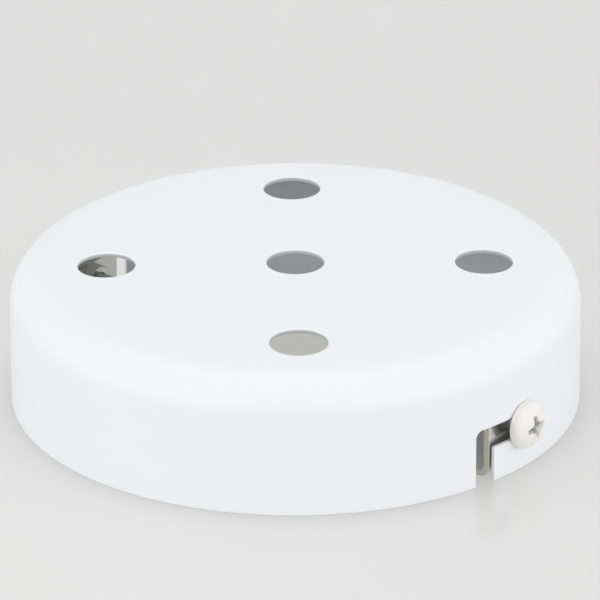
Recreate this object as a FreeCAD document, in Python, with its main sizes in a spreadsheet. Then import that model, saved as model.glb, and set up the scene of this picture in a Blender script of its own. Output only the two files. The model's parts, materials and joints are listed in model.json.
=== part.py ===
"""Electrical ceiling rose: a pressed steel cup on a folded strap.

The row frame, in millimetres:
  the ceiling plane is z = 0 and the cup stands up from it along +Z,
  the cup's own axis is the Z axis,
  the strap runs along X, and the two side screws point along +X and -X.

Every size is a cell of the sheet called Sizes. The sketches, the features and
the placements read it through expressions.
"""
import FreeCAD, Part
import os

import Sketcher
from FreeCAD import Placement, Rotation, Vector

# Driving sizes: alias, value, what it measures
SIZES = [
    ("cover_diameter", 100.0, "outside of the pressed cup"),
    ("cover_height", 25.0, "rim to the middle of the top"),
    ("cover_wall", 0.8, "sheet of the cup"),
    ("shoulder_radius", 6.5, "outside round between wall and top"),
    ("top_crown", 0.5, "rise of the top from shoulder to middle"),
    ("outlet_diameter", 10.0, "cable outlets, for M10 x 1 nipples"),
    ("outlet_circle", 66.0, "pitch circle of the outer outlets"),
    ("outlet_count", 4, "outlets on the pitch circle"),
    ("slot_span", 13.6, "whole width of a bayonet slot"),
    ("slot_count", 2, "bayonet slots round the cup"),
    ("slot_play", 0.1, "thread to the bayonet slot, each side"),
    ("slot_corner", 1.3, "round of the slot's outer corner"),
    ("lip_corner", 0.3, "round of the lip beside the mouth"),
    ("screw_height", 8.4, "side screw axis above the ceiling"),
    ("strap_width", 15.0, "width of the strap"),
    ("strap_thickness", 1.25, "sheet of the strap"),
    ("strap_gap", 0.35, "leg corner to the inside of the cup"),
    ("bend_radius", 1.2, "inside round of the strap's bends"),
    ("leg_margin", 3.35, "side screw axis to the end of a leg"),
    ("leg_corner", 2.0, "round of a leg's end corners"),
    ("cable_hole", 10.5, "hole in the middle of the strap"),
    ("ceiling_slot_width", 5.0, "slots for the ceiling screws"),
    ("cable_bridge", 5.25, "sheet left between the cable hole and a ceiling slot"),
    ("earth_bridge", 6.0, "earth screw's axis to the end of a ceiling slot"),
    ("collar_wall", 1.25, "wall of a drawn thread collar"),
    ("collar_depth", 2.2, "drawn collar beyond the sheet"),
    ("earth_setback", 10.5, "earth screw's axis to the inside of the leg"),
    ("thread_diameter", 3.85, "outside of the M4 threads"),
    ("thread_play", 0.05, "thread to its tapped bore, each side"),
    ("tip_chamfer", 0.4, "chamfer at the end of a screw"),
    ("head_gap", 0.1, "side screw head to the cup"),
    ("side_head_diameter", 8.3, "painted head of a side screw"),
    ("side_head_height", 3.1, "underside to crown"),
    ("side_screw_length", 8.0, "underside of the head to the tip"),
    ("side_screw_roll", 8.7, "degrees the cross recess stands turned"),
    ("head_crown", 6.5, "radius of a head's domed top"),
    ("head_edge", 1.1, "round between a head's side and its dome"),
    ("earth_head_diameter", 7.5, "head of the earth screw"),
    ("earth_head_height", 2.5, "underside to crown"),
    ("earth_screw_length", 5.0, "underside of the head to the tip"),
    ("recess_span", 4.9, "cross recess, tip to tip of two wings"),
    ("recess_depth", 1.9, "below the crown"),
    ("wing_width", 1.35, "width of a wing at the crown"),
    ("wing_corner", 0.4, "cut across the corner between two wings, each way"),
    ("recess_narrowing", 0.5, "the cross at its bottom, as a share of its top"),
    ("washer_play", 0.2, "thread to a washer's bore, each side"),
    ("lock_washer_diameter", 8.0, "across the teeth"),
    ("lock_washer_thickness", 0.6, "toothed washer"),
    ("tooth_count", 9, "teeth of the lock washer"),
    ("tooth_length", 1.0, "depth of the notches between teeth"),
    ("notch_width", 1.1, "width of a notch"),
    ("clamp_thickness", 1.2, "sheet of the wire clamp"),
    ("clamp_length", 8.4, "wire clamp along the strap"),
    ("clamp_play", 0.3, "lock washer to the clamp's lips, each side"),
    ("clamp_lip", 1.1, "lips below the clamp's plate"),
]

# Rules that several pieces share, in terms of the sheet
CUP_RADIUS = "(Sizes.cover_diameter / 2)"
MIDDLE_OF_WALL = f"({CUP_RADIUS} - Sizes.cover_wall / 2)"
SLOT_WIDTH = "(Sizes.thread_diameter + 2 * Sizes.slot_play)"
SEAT = f"(Sizes.slot_span / 2 - {SLOT_WIDTH} / 2)"
SLOT_TURN = f"asin({SEAT} / {MIDDLE_OF_WALL})"
OUTLET_TURN = f"(180 deg / Sizes.outlet_count - {SLOT_TURN})"
TAPPED_BORE = "(Sizes.thread_diameter + 2 * Sizes.thread_play)"
WASHER_BORE = "(Sizes.thread_diameter + 2 * Sizes.washer_play)"
COLLAR_DIAMETER = f"({TAPPED_BORE} + 2 * Sizes.collar_wall)"
LEG_END = "(Sizes.screw_height + Sizes.leg_margin)"
LEG_CORNER_REACH = f"({CUP_RADIUS} - Sizes.cover_wall - Sizes.strap_gap)"
LEG_OUTSIDE = f"sqrt(pow({LEG_CORNER_REACH}; 2) - pow(Sizes.strap_width / 2; 2))"
LEG_INSIDE = f"({LEG_OUTSIDE} - Sizes.strap_thickness)"
BEND_OUTSIDE = "(Sizes.bend_radius + Sizes.strap_thickness)"
EARTH_REACH = f"({LEG_INSIDE} - Sizes.earth_setback)"
EARTH_PLACE = f"-{EARTH_REACH}"
CEILING_SLOT_START = "(Sizes.cable_hole / 2 + Sizes.cable_bridge)"
CEILING_SLOT_END = f"({EARTH_REACH} - Sizes.earth_bridge)"
COLLAR_TOP = "(Sizes.strap_thickness + Sizes.collar_depth)"
LOCK_TOP = f"({COLLAR_TOP} + Sizes.lock_washer_thickness)"
CLAMP_TOP = f"({LOCK_TOP} + Sizes.clamp_thickness)"
HEAD_SEAT = f"({CUP_RADIUS} + Sizes.head_gap)"

# How far a cut runs past the sheet, how near two places count as one, and a whole turn
CLEAR_CUT = 1.0
SAME_PLACE = 0.01
FULL_TURN = 360.0


def add_sheet(doc):
    """Put the driving sizes in a spreadsheet, one aliased cell each."""
    sheet = doc.addObject("Spreadsheet::Sheet", "Sizes")
    for row, (alias, value, note) in enumerate(SIZES, start=1):
        sheet.set(f"A{row}", alias)
        sheet.set(f"B{row}", str(value))
        sheet.set(f"C{row}", note)
        sheet.setAlias(f"B{row}", alias)
    doc.recompute()
    return sheet


def number(owner, rule):
    """Work out a rule of the sheet as a plain number."""
    result = owner.evalExpression(rule)
    return float(getattr(result, "Value", result))


def add_body(doc, label):
    body = doc.addObject("PartDesign::Body", label)
    body.Label = label
    return body


def origin_feature(body, role):
    """Find one of the body's own origin planes or axes."""
    return next(item for item in body.Origin.OriginFeatures if item.Role == role)


def add_sketch(body, name, plane, offset=None):
    """Attach a sketch to an origin plane; offset is a rule along its normal."""
    sketch = body.newObject("Sketcher::SketchObject", name)
    sketch.AttachmentSupport = (origin_feature(body, plane), [""])
    sketch.MapMode = "FlatFace"
    if offset is not None:
        sketch.setExpression("AttachmentOffset.Base.z", offset)
    body.Document.recompute()
    return sketch


def measure(sketch, kind, rule, *points):
    """Add a driving dimension and bind it to its rule."""
    index = sketch.addConstraint(Sketcher.Constraint(kind, *points, number(sketch, rule)))
    sketch.setExpression(f"Constraints[{index}]", rule)


def pin(sketch, geometry, point, across, up):
    """Fix a point of the sketch by its two distances from the origin."""
    for kind, rule, axis in (("DistanceX", across, -2), ("DistanceY", up, -1)):
        if rule == "0":
            sketch.addConstraint(Sketcher.Constraint("PointOnObject", geometry, point, axis))
        else:
            measure(sketch, kind, rule, -1, 1, geometry, point)


def add_circle(sketch, across, up, diameter):
    """Draw a circle by its centre and its diameter."""
    centre = Vector(number(sketch, across), number(sketch, up), 0)
    radius = number(sketch, diameter) / 2
    index = sketch.addGeometry(Part.Circle(centre, Vector(0, 0, 1), radius), False)
    pin(sketch, index, 3, across, up)
    measure(sketch, "Diameter", diameter, index)


def arc_between(start, end, centre):
    """Build the shorter arc from start to end, and say whether it runs backwards."""
    circle = Part.Circle(centre, Vector(0, 0, 1), (start - centre).Length)
    turn = (start - centre).cross(end - centre).z
    first, last = (start, end) if turn > 0 else (end, start)
    return Part.ArcOfCircle(circle, circle.parameter(first), circle.parameter(last)), turn <= 0


def add_outline(sketch, steps):
    """Draw a closed outline.

    A step is (across, up) for a corner reached by a straight line, or
    (across, up, centre across, centre up, radius) for one reached by an arc.
    """
    spots = [Vector(number(sketch, step[0]), number(sketch, step[1]), 0) for step in steps]
    ends = []
    for place, step in enumerate(steps):
        start, end = spots[place - 1], spots[place]
        if len(step) == 2:
            index = sketch.addGeometry(Part.LineSegment(start, end), False)
            ends.append((index, 1, 2))
        else:
            centre = Vector(number(sketch, step[2]), number(sketch, step[3]), 0)
            arc, backwards = arc_between(start, end, centre)
            index = sketch.addGeometry(arc, False)
            ends.append((index, 2, 1) if backwards else (index, 1, 2))
    for place, step in enumerate(steps):
        index, _, finish = ends[place]
        following, begin, _ = ends[(place + 1) % len(steps)]
        sketch.addConstraint(Sketcher.Constraint("Coincident", index, finish, following, begin))
        pin(sketch, index, finish, step[0], step[1])
        if len(step) == 5:
            measure(sketch, "Radius", step[4], index)


def add_pad(body, sketch, name, length, midplane=False):
    pad = body.newObject("PartDesign::Pad", name)
    pad.Profile = sketch
    pad.setExpression("Length", length)
    pad.Midplane = midplane
    body.Document.recompute()
    return pad


def add_pocket(body, sketch, name, length, midplane=False, reversed_way=False):
    """Cut a pocket and make sure that it took material away."""
    before = body.Shape.Volume
    pocket = body.newObject("PartDesign::Pocket", name)
    pocket.Profile = sketch
    pocket.setExpression("Length", length)
    pocket.Midplane = midplane
    pocket.Reversed = reversed_way
    body.Document.recompute()
    if body.Shape.Volume >= before:
        raise RuntimeError(f"{name} cuts nothing from {body.Label}")
    return pocket


def add_revolution(body, sketch, kind, name):
    """Turn a sketch about its own vertical axis, to add (Revolution) or to cut (Groove)."""
    before = body.Shape.Volume if body.Tip else 0.0
    turned = body.newObject(kind, name)
    turned.Profile = sketch
    turned.ReferenceAxis = (sketch, ["V_Axis"])
    turned.Angle = FULL_TURN
    body.Document.recompute()
    if (body.Shape.Volume > before) != (kind == "PartDesign::Revolution"):
        raise RuntimeError(f"{name} doesn't change {body.Label} as it should")
    return turned


def repeat_round(body, feature, name, count):
    """Repeat a feature evenly about the body's Z axis."""
    pattern = body.newObject("PartDesign::PolarPattern", name)
    pattern.Originals = [feature]
    pattern.Axis = (origin_feature(body, "Z_Axis"), [""])
    pattern.Angle = FULL_TURN
    pattern.setExpression("Occurrences", count)
    body.Tip = pattern
    body.Document.recompute()
    return pattern


def mirror_across(body, features, name, plane):
    mirrored = body.newObject("PartDesign::Mirrored", name)
    mirrored.Originals = features
    mirrored.MirrorPlane = (origin_feature(body, plane), [""])
    body.Tip = mirrored
    body.Document.recompute()
    return mirrored


def round_edges(body, feature, name, radius, wanted):
    """Round those edges of a feature that a test picks out."""
    edges = enumerate(feature.Shape.Edges, start=1)
    rounds = body.newObject("PartDesign::Fillet", name)
    rounds.Base = (feature, [f"Edge{place}" for place, edge in edges if wanted(edge.BoundBox)])
    rounds.setExpression("Radius", radius)
    body.Document.recompute()
    return rounds


def draw_cup(sketch, inset):
    """Draw half of the cup's section: wall, shoulder and slightly crowned top.

    The inset is a rule: nothing for the outside, the sheet for the hollow.
    """
    radius_rule = f"({CUP_RADIUS} - {inset})"
    height_rule = f"(Sizes.cover_height - {inset})"
    shoulder_rule = f"(Sizes.shoulder_radius - {inset})"
    flat_reach = f"({CUP_RADIUS} - Sizes.shoulder_radius)"
    crown_rule = (f"((pow({flat_reach}; 2) + pow(Sizes.top_crown; 2))"
                  f" / (2 * Sizes.top_crown) - {inset})")
    radius = number(sketch, radius_rule)
    height = number(sketch, height_rule)
    shoulder = number(sketch, shoulder_rule)
    crown = number(sketch, crown_rule)
    crown_centre = Vector(0, height - crown, 0)
    reach = radius - shoulder
    rise = ((crown - shoulder) ** 2 - reach ** 2) ** 0.5
    shoulder_centre = Vector(reach, crown_centre.y + rise, 0)
    meeting = crown_centre + (shoulder_centre - crown_centre) * (crown / (crown - shoulder))
    wall_top = Vector(radius, shoulder_centre.y, 0)
    shoulder_arc, _ = arc_between(wall_top, meeting, shoulder_centre)
    crown_arc, _ = arc_between(meeting, Vector(0, height, 0), crown_centre)
    sketch.addGeometry([
        Part.LineSegment(Vector(0, 0, 0), Vector(radius, 0, 0)),
        Part.LineSegment(Vector(radius, 0, 0), wall_top),
        shoulder_arc,
        crown_arc,
        Part.LineSegment(Vector(0, height, 0), Vector(0, 0, 0)),
    ], False)
    rim, wall, round_over, top, axis = range(5)
    sketch.addConstraint([
        Sketcher.Constraint("Coincident", rim, 1, -1, 1),
        Sketcher.Constraint("Horizontal", rim),
        Sketcher.Constraint("Coincident", rim, 2, wall, 1),
        Sketcher.Constraint("Vertical", wall),
        Sketcher.Constraint("Tangent", wall, 2, round_over, 1),
        Sketcher.Constraint("Tangent", round_over, 2, top, 1),
        Sketcher.Constraint("Coincident", top, 2, axis, 1),
        Sketcher.Constraint("Coincident", axis, 2, rim, 1),
        Sketcher.Constraint("PointOnObject", axis, 1, -2),
        Sketcher.Constraint("PointOnObject", top, 3, -2),
    ])
    measure(sketch, "DistanceX", radius_rule, rim, 1, rim, 2)
    measure(sketch, "DistanceY", height_rule, axis, 2, axis, 1)
    measure(sketch, "Radius", shoulder_rule, round_over)
    measure(sketch, "Radius", crown_rule, top)


def make_cover(doc):
    """Pressed cup with five outlets and two bayonet slots."""
    body = add_body(doc, "cover")

    # The sheet: a solid cup, then its hollow one sheet further in
    outside = add_sketch(body, "OutsideProfile", "XZ_Plane")
    draw_cup(outside, "0")
    add_revolution(body, outside, "PartDesign::Revolution", "Cup")
    inside = add_sketch(body, "InsideProfile", "XZ_Plane")
    draw_cup(inside, "Sizes.cover_wall")
    add_revolution(body, inside, "PartDesign::Groove", "Hollow")

    # Cable outlets: one in the middle and the rest on the pitch circle
    through_top = f"Sizes.cover_height + {CLEAR_CUT}"
    middle = add_sketch(body, "MiddleOutletCircle", "XY_Plane")
    add_circle(middle, "0", "0", "Sizes.outlet_diameter")
    add_pocket(body, middle, "MiddleOutlet", through_top, reversed_way=True)
    outer = add_sketch(body, "OuterOutletCircle", "XY_Plane")
    outlet_x = f"Sizes.outlet_circle / 2 * cos({OUTLET_TURN})"
    outlet_y = f"Sizes.outlet_circle / 2 * sin({OUTLET_TURN})"
    add_circle(outer, outlet_x, outlet_y, "Sizes.outlet_diameter")
    outlet = add_pocket(body, outer, "OuterOutlet", through_top, reversed_way=True)
    repeat_round(body, outlet, "OuterOutlets", "Sizes.outlet_count")

    # Bayonet slot, punched square to the wall at the middle of its span
    side = add_sketch(body, "SlotOutline", "YZ_Plane")
    side.AttachmentOffset = Placement(Vector(), Rotation(Vector(0, 1, 0), 1))
    side.setExpression("AttachmentOffset.Rotation.Angle", f"-({SLOT_TURN})")
    doc.recompute()
    left = "-Sizes.slot_span / 2"
    lip = f"(-Sizes.slot_span / 2 + {SLOT_WIDTH})"
    upper = f"(Sizes.screw_height + {SLOT_WIDTH} / 2)"
    lower = f"(Sizes.screw_height - {SLOT_WIDTH} / 2)"
    below_rim = f"-{CLEAR_CUT}"
    corner = "Sizes.slot_corner"
    edge = "Sizes.lip_corner"
    half_slot = f"{SLOT_WIDTH} / 2"
    end_tip = f"({SEAT} + {half_slot})"
    add_outline(side, [
        (left, below_rim),
        (left, f"{upper} - {corner}"),
        (f"{left} + {corner}", upper, f"{left} + {corner}", f"{upper} - {corner}", corner),
        (SEAT, upper),
        (end_tip, "Sizes.screw_height", SEAT, "Sizes.screw_height", half_slot),
        (SEAT, lower, SEAT, "Sizes.screw_height", half_slot),
        (f"{lip} + {edge}", lower),
        (lip, f"{lower} - {edge}", f"{lip} + {edge}", f"{lower} - {edge}", edge),
        (lip, below_rim),
    ])
    slot = add_pocket(body, side, "BayonetSlot", f"{CUP_RADIUS} + {CLEAR_CUT}", reversed_way=True)
    repeat_round(body, slot, "BayonetSlots", "Sizes.slot_count")
    return body


def make_strap(doc):
    """Folded steel strap with drawn, tapped collars for its three screws."""
    body = add_body(doc, "mounting_strap")
    thickness = "Sizes.strap_thickness"
    bend_centre = f"({LEG_OUTSIDE} - {BEND_OUTSIDE})"

    # The fold: web on the ceiling and a leg at each end
    fold = add_sketch(body, "FoldProfile", "XZ_Plane")
    add_outline(fold, [
        (f"-{LEG_OUTSIDE}", LEG_END),
        (f"-{LEG_OUTSIDE}", BEND_OUTSIDE),
        (f"-{bend_centre}", "0", f"-{bend_centre}", BEND_OUTSIDE, BEND_OUTSIDE),
        (bend_centre, "0"),
        (LEG_OUTSIDE, BEND_OUTSIDE, bend_centre, BEND_OUTSIDE, BEND_OUTSIDE),
        (LEG_OUTSIDE, LEG_END),
        (LEG_INSIDE, LEG_END),
        (LEG_INSIDE, BEND_OUTSIDE),
        (bend_centre, thickness, bend_centre, BEND_OUTSIDE, "Sizes.bend_radius"),
        (f"-{bend_centre}", thickness),
        (f"-{LEG_INSIDE}", BEND_OUTSIDE, f"-{bend_centre}", BEND_OUTSIDE, "Sizes.bend_radius"),
        (f"-{LEG_INSIDE}", LEG_END),
    ])
    strip = add_pad(body, fold, "Strip", "Sizes.strap_width", midplane=True)

    # Corners of the two leg ends
    leg_end = number(strip, LEG_END)

    def end_corner(box):
        return box.ZMin > leg_end - SAME_PLACE and box.YLength < box.XLength

    round_edges(body, strip, "LegCorners", "Sizes.leg_corner", end_corner)

    # Holes of the web: cable hole in the middle and a slot for each ceiling screw
    cable = add_sketch(body, "CableHoleCircle", "XY_Plane")
    add_circle(cable, "0", "0", "Sizes.cable_hole")
    add_pocket(body, cable, "CableHole", f"{thickness} + {CLEAR_CUT}", reversed_way=True)
    long_hole = add_sketch(body, "CeilingSlotOutline", "XY_Plane")
    half_width = "Sizes.ceiling_slot_width / 2"
    near = f"({CEILING_SLOT_START} + {half_width})"
    far = f"({CEILING_SLOT_END} - {half_width})"
    add_outline(long_hole, [
        (far, f"-{half_width}"),
        (f"{far} + {half_width}", "0", far, "0", half_width),
        (far, half_width, far, "0", half_width),
        (near, half_width),
        (f"{near} - {half_width}", "0", near, "0", half_width),
        (near, f"-{half_width}", near, "0", half_width),
    ])
    ceiling_slot = add_pocket(body, long_hole, "CeilingSlot", f"{thickness} + {CLEAR_CUT}",
                              reversed_way=True)
    mirror_across(body, [ceiling_slot], "CeilingSlots", "YZ_Plane")

    # Collars drawn inwards from the legs, and up from the web for the earth screw
    leg_collar = add_sketch(body, "LegCollarCircle", "YZ_Plane", f"{LEG_INSIDE} - Sizes.collar_depth")
    add_circle(leg_collar, "0", "Sizes.screw_height", COLLAR_DIAMETER)
    collar = add_pad(body, leg_collar, "LegCollar", f"Sizes.collar_depth + {thickness} / 2")
    mirror_across(body, [collar], "LegCollars", "YZ_Plane")
    earth_collar = add_sketch(body, "EarthCollarCircle", "XY_Plane", f"{thickness} / 2")
    add_circle(earth_collar, EARTH_PLACE, "0", COLLAR_DIAMETER)
    add_pad(body, earth_collar, "EarthCollar", f"Sizes.collar_depth + {thickness} / 2")

    # Tapped bores, at the thread's outside diameter
    side_bore = add_sketch(body, "SideBoreCircle", "YZ_Plane")
    add_circle(side_bore, "0", "Sizes.screw_height", TAPPED_BORE)
    add_pocket(body, side_bore, "SideBores", "2 * Sizes.cover_diameter", midplane=True)
    earth_bore = add_sketch(body, "EarthBoreCircle", "XY_Plane")
    add_circle(earth_bore, EARTH_PLACE, "0", TAPPED_BORE)
    add_pocket(body, earth_bore, "EarthBore", f"{COLLAR_TOP} + {CLEAR_CUT}", reversed_way=True)
    return body


def cross_steps(half_span, half_width, corner):
    """Corners of a cross with four equal wings and cut inner corners, as an outline."""
    cut_back = f"({half_width} + {corner})"
    quarter = [(half_span, half_width), (cut_back, half_width), (half_width, cut_back),
               (half_width, half_span)]
    steps = []
    for _ in range(4):
        steps.extend(quarter)
        quarter = [(f"-({up})", across) for across, up in quarter]
    return steps


def make_screw(doc, label, head_diameter, head_height, length):
    """Pan head machine screw with a cross recess; its head points along its own +Z."""
    body = add_body(doc, label)
    thread = "Sizes.thread_diameter / 2"
    chamfer = "Sizes.tip_chamfer"
    side_height = (f"({head_height} - Sizes.head_crown"
                   f" + sqrt(pow(Sizes.head_crown; 2) - pow({head_diameter} / 2; 2)))")
    profile = add_sketch(body, "TurnedProfile", "XZ_Plane")
    add_outline(profile, [
        ("0", f"-{length}"),
        (f"{thread} - {chamfer}", f"-{length}"),
        (thread, f"-{length} + {chamfer}"),
        (thread, "0"),
        (f"{head_diameter} / 2", "0"),
        (f"{head_diameter} / 2", side_height),
        ("0", head_height, "0", f"{head_height} - Sizes.head_crown", "Sizes.head_crown"),
    ])
    blank = add_revolution(body, profile, "PartDesign::Revolution", "Blank")

    # Round between the head's side and its dome
    edge_height = number(blank, side_height)
    reach = number(blank, f"{head_diameter} / 2")

    def dome_edge(box):
        level = abs(box.ZMin - edge_height) < SAME_PLACE and box.ZLength < SAME_PLACE
        return level and abs(box.XMax - reach) < SAME_PLACE

    round_edges(body, blank, "HeadEdge", "Sizes.head_edge", dome_edge)

    # Cross recess, narrowing towards its bottom
    top = add_sketch(body, "RecessTop", "XY_Plane", head_height)
    sizes_across = ["Sizes.recess_span / 2", "Sizes.wing_width / 2", "Sizes.wing_corner"]
    add_outline(top, cross_steps(*sizes_across))
    bottom = add_sketch(body, "RecessBottom", "XY_Plane", f"{head_height} - Sizes.recess_depth")
    add_outline(bottom, cross_steps(*[f"{size} * Sizes.recess_narrowing" for size in sizes_across]))
    before = body.Shape.Volume
    recess = body.newObject("PartDesign::SubtractiveLoft", "CrossRecess")
    recess.Profile = top
    recess.Sections = [bottom]
    recess.Ruled = True
    doc.recompute()
    if body.Shape.Volume >= before:
        raise RuntimeError(f"the recess cuts nothing from {label}")
    return body


def make_side_screw(doc, label, way):
    """Side screw; way is +1 for the one on +X and -1 for the one on -X."""
    screw = make_screw(doc, label, "Sizes.side_head_diameter", "Sizes.side_head_height",
                       "Sizes.side_screw_length")
    roll = number(screw, "Sizes.side_screw_roll")
    turn = Rotation(Vector(0, 1, 0), way * 90) * Rotation(Vector(0, 0, 1), roll)
    screw.Placement = Placement(Vector(), turn)
    screw.setExpression("Placement.Base.x", f"{way} * {HEAD_SEAT}")
    screw.setExpression("Placement.Base.z", "Sizes.screw_height")
    return screw


def make_earth_screw(doc):
    """Earth screw in the strap's collar, head into the cup."""
    screw = make_screw(doc, "earth_screw", "Sizes.earth_head_diameter", "Sizes.earth_head_height",
                       "Sizes.earth_screw_length")
    screw.setExpression("Placement.Base.x", EARTH_PLACE)
    screw.setExpression("Placement.Base.z", CLAMP_TOP)
    return screw


def make_lock_washer(doc):
    """Toothed lock washer between the collar and the wire clamp."""
    body = add_body(doc, "earth_lock_washer")
    ring = add_sketch(body, "RingOutline", "XY_Plane")
    add_circle(ring, "0", "0", "Sizes.lock_washer_diameter")
    add_circle(ring, "0", "0", WASHER_BORE)
    add_pad(body, ring, "Ring", "Sizes.lock_washer_thickness")
    gap = add_sketch(body, "NotchOutline", "XY_Plane")
    inner = "(Sizes.lock_washer_diameter / 2 - Sizes.tooth_length)"
    outer = f"Sizes.lock_washer_diameter / 2 + {CLEAR_CUT}"
    half = "Sizes.notch_width / 2"
    add_outline(gap, [
        (outer, f"-{half}"),
        (outer, half),
        (inner, f"{half} / 2"),
        (inner, f"-{half} / 2"),
    ])
    notch = add_pocket(body, gap, "Notch", f"Sizes.lock_washer_thickness + {CLEAR_CUT}",
                       reversed_way=True)
    repeat_round(body, notch, "Notches", "Sizes.tooth_count")
    body.setExpression("Placement.Base.x", EARTH_PLACE)
    body.setExpression("Placement.Base.z", COLLAR_TOP)
    return body


def make_clamp(doc):
    """Wire clamp: a small folded plate whose lips straddle the lock washer."""
    body = add_body(doc, "earth_clamp")
    inner = "(Sizes.lock_washer_diameter / 2 + Sizes.clamp_play)"
    outer = f"({inner} + Sizes.clamp_thickness)"
    corner = "Sizes.clamp_thickness / 2"
    fold = add_sketch(body, "FoldProfile", "YZ_Plane")
    add_outline(fold, [
        (f"-{outer}", "-Sizes.clamp_lip"),
        (f"-{inner}", "-Sizes.clamp_lip"),
        (f"-{inner}", "0"),
        (inner, "0"),
        (inner, "-Sizes.clamp_lip"),
        (outer, "-Sizes.clamp_lip"),
        (outer, corner),
        (f"{outer} - {corner}", "Sizes.clamp_thickness", f"{outer} - {corner}", corner, corner),
        (f"-({outer} - {corner})", "Sizes.clamp_thickness"),
        (f"-{outer}", corner, f"-({outer} - {corner})", corner, corner),
    ])
    add_pad(body, fold, "Plate", "Sizes.clamp_length", midplane=True)
    hole = add_sketch(body, "ScrewHoleCircle", "XY_Plane")
    add_circle(hole, "0", "0", WASHER_BORE)
    add_pocket(body, hole, "ScrewHole", f"Sizes.clamp_thickness + {CLEAR_CUT}", reversed_way=True)
    body.setExpression("Placement.Base.x", EARTH_PLACE)
    body.setExpression("Placement.Base.z", LOCK_TOP)
    return body


def check_and_write(doc, bodies):
    """Stop on any failed feature or bad solid, then write one file per piece."""
    doc.recompute()
    for item in doc.Objects:
        if "Invalid" in item.State or "Error" in item.State:
            raise RuntimeError(f"{item.Name} failed: {item.State}")
    for body in bodies:
        if body.Shape.isNull() or not body.Shape.isValid() or len(body.Shape.Solids) != 1:
            raise RuntimeError(f"{body.Label} isn't one valid solid")
    os.makedirs("parts", exist_ok=True)
    for body in bodies:
        body.Shape.exportStep(os.path.join("parts", f"{body.Label}.step"))
        box = body.Shape.BoundBox
        print(f"{body.Label}: {body.Shape.Volume:.1f} mm3, x {box.XMin:.2f}..{box.XMax:.2f}, "
              f"y {box.YMin:.2f}..{box.YMax:.2f}, z {box.ZMin:.2f}..{box.ZMax:.2f}")


def main():
    doc = FreeCAD.newDocument("CeilingRose")
    add_sheet(doc)
    bodies = [
        make_cover(doc),
        make_strap(doc),
        make_side_screw(doc, "side_screw_1", 1),
        make_side_screw(doc, "side_screw_2", -1),
        make_earth_screw(doc),
        make_lock_washer(doc),
        make_clamp(doc),
    ]
    check_and_write(doc, bodies)


main()
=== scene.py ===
# %% [markdown]
# # A pressed-steel ceiling rose, from frame to finished picture
#
# A ceiling rose is the small cup that hides where a lamp's cable meets the ceiling.
# This one is drawn from a disc of steel, punched, powder coated white, and hung on a
# folded steel strap by two screws that slide into L-shaped slots. Lying on a table, as
# here, its open rim points down and the five cable outlets face up.
#
# The solid pieces already exist in a measured frame. This lesson dresses them: it
# builds the fine shapes that a solid leaves out, gives every surface its finish, and
# lights the piece like a product photograph.

# %% Load the frame
import json
import math

import bmesh
import bpy
from mathutils import Matrix, Vector
from mathutils.geometry import delaunay_2d_cdt


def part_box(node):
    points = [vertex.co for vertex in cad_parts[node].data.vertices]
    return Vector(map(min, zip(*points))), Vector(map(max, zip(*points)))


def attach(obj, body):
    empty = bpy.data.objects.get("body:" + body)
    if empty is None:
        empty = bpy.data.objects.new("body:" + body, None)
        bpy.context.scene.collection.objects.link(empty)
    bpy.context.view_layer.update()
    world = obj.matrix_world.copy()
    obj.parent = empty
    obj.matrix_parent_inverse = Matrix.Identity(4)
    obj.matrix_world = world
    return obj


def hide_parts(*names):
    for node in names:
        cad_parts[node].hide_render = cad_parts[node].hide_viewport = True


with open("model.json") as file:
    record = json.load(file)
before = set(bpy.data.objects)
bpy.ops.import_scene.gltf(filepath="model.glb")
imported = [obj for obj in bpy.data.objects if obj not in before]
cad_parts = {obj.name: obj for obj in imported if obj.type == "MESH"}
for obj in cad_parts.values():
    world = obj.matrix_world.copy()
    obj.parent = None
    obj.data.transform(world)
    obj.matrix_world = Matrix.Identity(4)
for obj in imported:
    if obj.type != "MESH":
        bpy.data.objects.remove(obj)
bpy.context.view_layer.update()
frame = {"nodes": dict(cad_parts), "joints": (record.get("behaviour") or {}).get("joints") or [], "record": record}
print("pieces in the frame:", ", ".join(sorted(frame["nodes"])))

# %% [markdown]
# ## One scale for everything
#
# The frame is in metres, but a metalworker thinks in millimetres. Every size below is
# written in millimetres and multiplied by `MM` once, where it becomes geometry.

# %% Sizes taken from the frame
MM = 0.001
mounts = {mount["name"]: mount for mount in frame["record"]["mounts"]}
joints = {joint["name"]: joint for joint in frame["joints"]}
cover_low, cover_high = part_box("cover")
CUP_RADIUS = (cover_high.x - cover_low.x) / 2 / MM
CUP_HEIGHT = cover_high.z / MM
SHEET = mounts["centre_outlet"]["dims"]["length_mm"]
OUTLET_RADIUS = mounts["centre_outlet"]["dims"]["r_mm"]
OUTLET_CIRCLE = mounts["outer_outlets"]["dims"]["pcd_mm"] / 2
OUTLET_COUNT = mounts["outer_outlets"]["dims"]["count"]
SCREW_HEIGHT = joints["side_screw_1_turn"]["pos_m"][2] / MM
print(f"cup {2 * CUP_RADIUS:.2f} mm across, {CUP_HEIGHT:.2f} mm high, sheet {SHEET} mm")

# %% [markdown]
# ## The camera comes first
#
# A long lens from over a metre away keeps the far rim almost as wide as the near one,
# which is how small products are usually photographed. The camera stands on a sphere
# round the middle of the cup's rim and looks at it. Three small turns then bring the
# piece to its place in the picture. Lamps are easiest to place as the camera sees them,
# to the right, away and up, so a helper turns such a place into the frame's axes.

# %% Place the camera
CAMERA_DISTANCE = 1250.9
CAMERA_AZIMUTH = math.radians(38.5)
CAMERA_ELEVATION = math.radians(25.12)
CAMERA_PAN = math.radians(-0.0375)
CAMERA_TILT = math.radians(0.735)
CAMERA_ROLL = math.radians(-0.174)
FOCAL_LENGTH = 425.85
SENSOR_WIDTH = 36.0

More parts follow.
